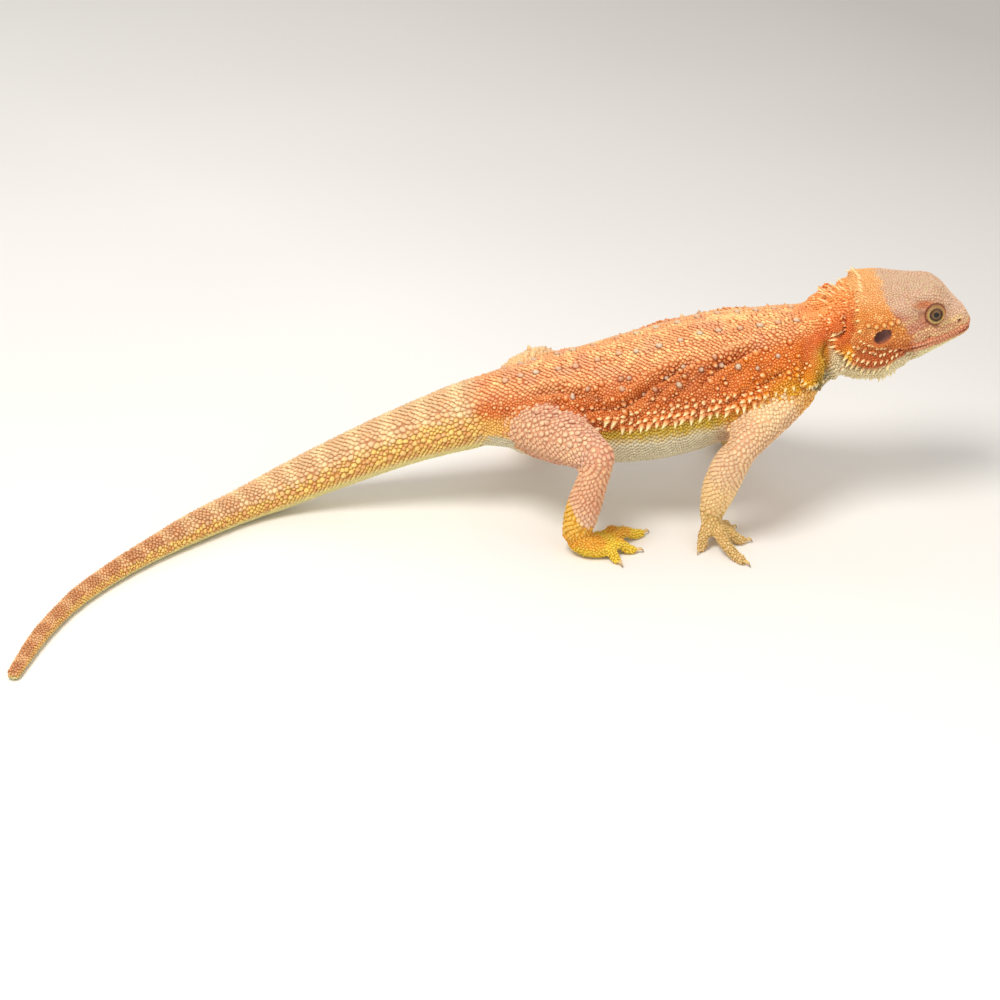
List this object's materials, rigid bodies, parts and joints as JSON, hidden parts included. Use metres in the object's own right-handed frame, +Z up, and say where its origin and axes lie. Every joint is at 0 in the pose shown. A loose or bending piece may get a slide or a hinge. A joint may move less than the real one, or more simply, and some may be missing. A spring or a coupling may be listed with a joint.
{
  "type": "bearded dragon",
  "caption": "Still, life-size orange bearded dragon standing on four feet with its head up and its long tail curving along the floor.",
  "frame": {"origin": "middle of the bounding box's base, on the floor the animal stands on", "axes": "+X towards the snout, +Y the animal's left, +Z up"},
  "size_m": [0.3726, 0.2106, 0.1036],
  "materials": {
    "head_scales": "dry scales, satin",
    "beard_scales": "dry scales, satin",
    "body_scales": "dry scales, satin",
    "tail_scales": "dry scales, satin",
    "leg_scales": "dry scales, satin",
    "foot_scales": "dry scales, satin",
    "eye": "wet gloss",
    "claw_horn": "polished horn"
  },
  "bodies": {
    "root": {"head": "head_scales", "lower_jaw": "head_scales", "beard": "beard_scales", "neck": "body_scales", "chest": "body_scales", "abdomen": "body_scales", "pelvis": "body_scales", "tail_base": "tail_scales", "tail_upper": "tail_scales", "tail_middle": "tail_scales", "tail_lower": "tail_scales", "tail_tip": "tail_scales", "upper_arm_fore_left": "leg_scales", "forearm_fore_left": "leg_scales", "upper_arm_fore_right": "leg_scales", "forearm_fore_right": "leg_scales", "thigh_hind_left": "leg_scales", "shank_hind_left": "leg_scales", "thigh_hind_right": "leg_scales", "shank_hind_right": "leg_scales", "hand_fore_left": "foot_scales", "hand_fore_right": "foot_scales", "foot_hind_left": "foot_scales", "foot_hind_right": "foot_scales", "eye_left": "eye", "eye_right": "eye", "claw_fore_left_1": "claw_horn", "claw_fore_left_2": "claw_horn", "claw_fore_left_3": "claw_horn", "claw_fore_left_4": "claw_horn", "claw_fore_left_5": "claw_horn", "claw_fore_right_1": "claw_horn", "claw_fore_right_2": "claw_horn", "claw_fore_right_3": "claw_horn", "claw_fore_right_4": "claw_horn", "claw_fore_right_5": "claw_horn", "claw_hind_left_1": "claw_horn", "claw_hind_left_2": "claw_horn", "claw_hind_left_3": "claw_horn", "claw_hind_left_4": "claw_horn", "claw_hind_left_5": "claw_horn", "claw_hind_right_1": "claw_horn", "claw_hind_right_2": "claw_horn", "claw_hind_right_3": "claw_horn", "claw_hind_right_4": "claw_horn", "claw_hind_right_5": "claw_horn"}
  },
  "joints": []
}
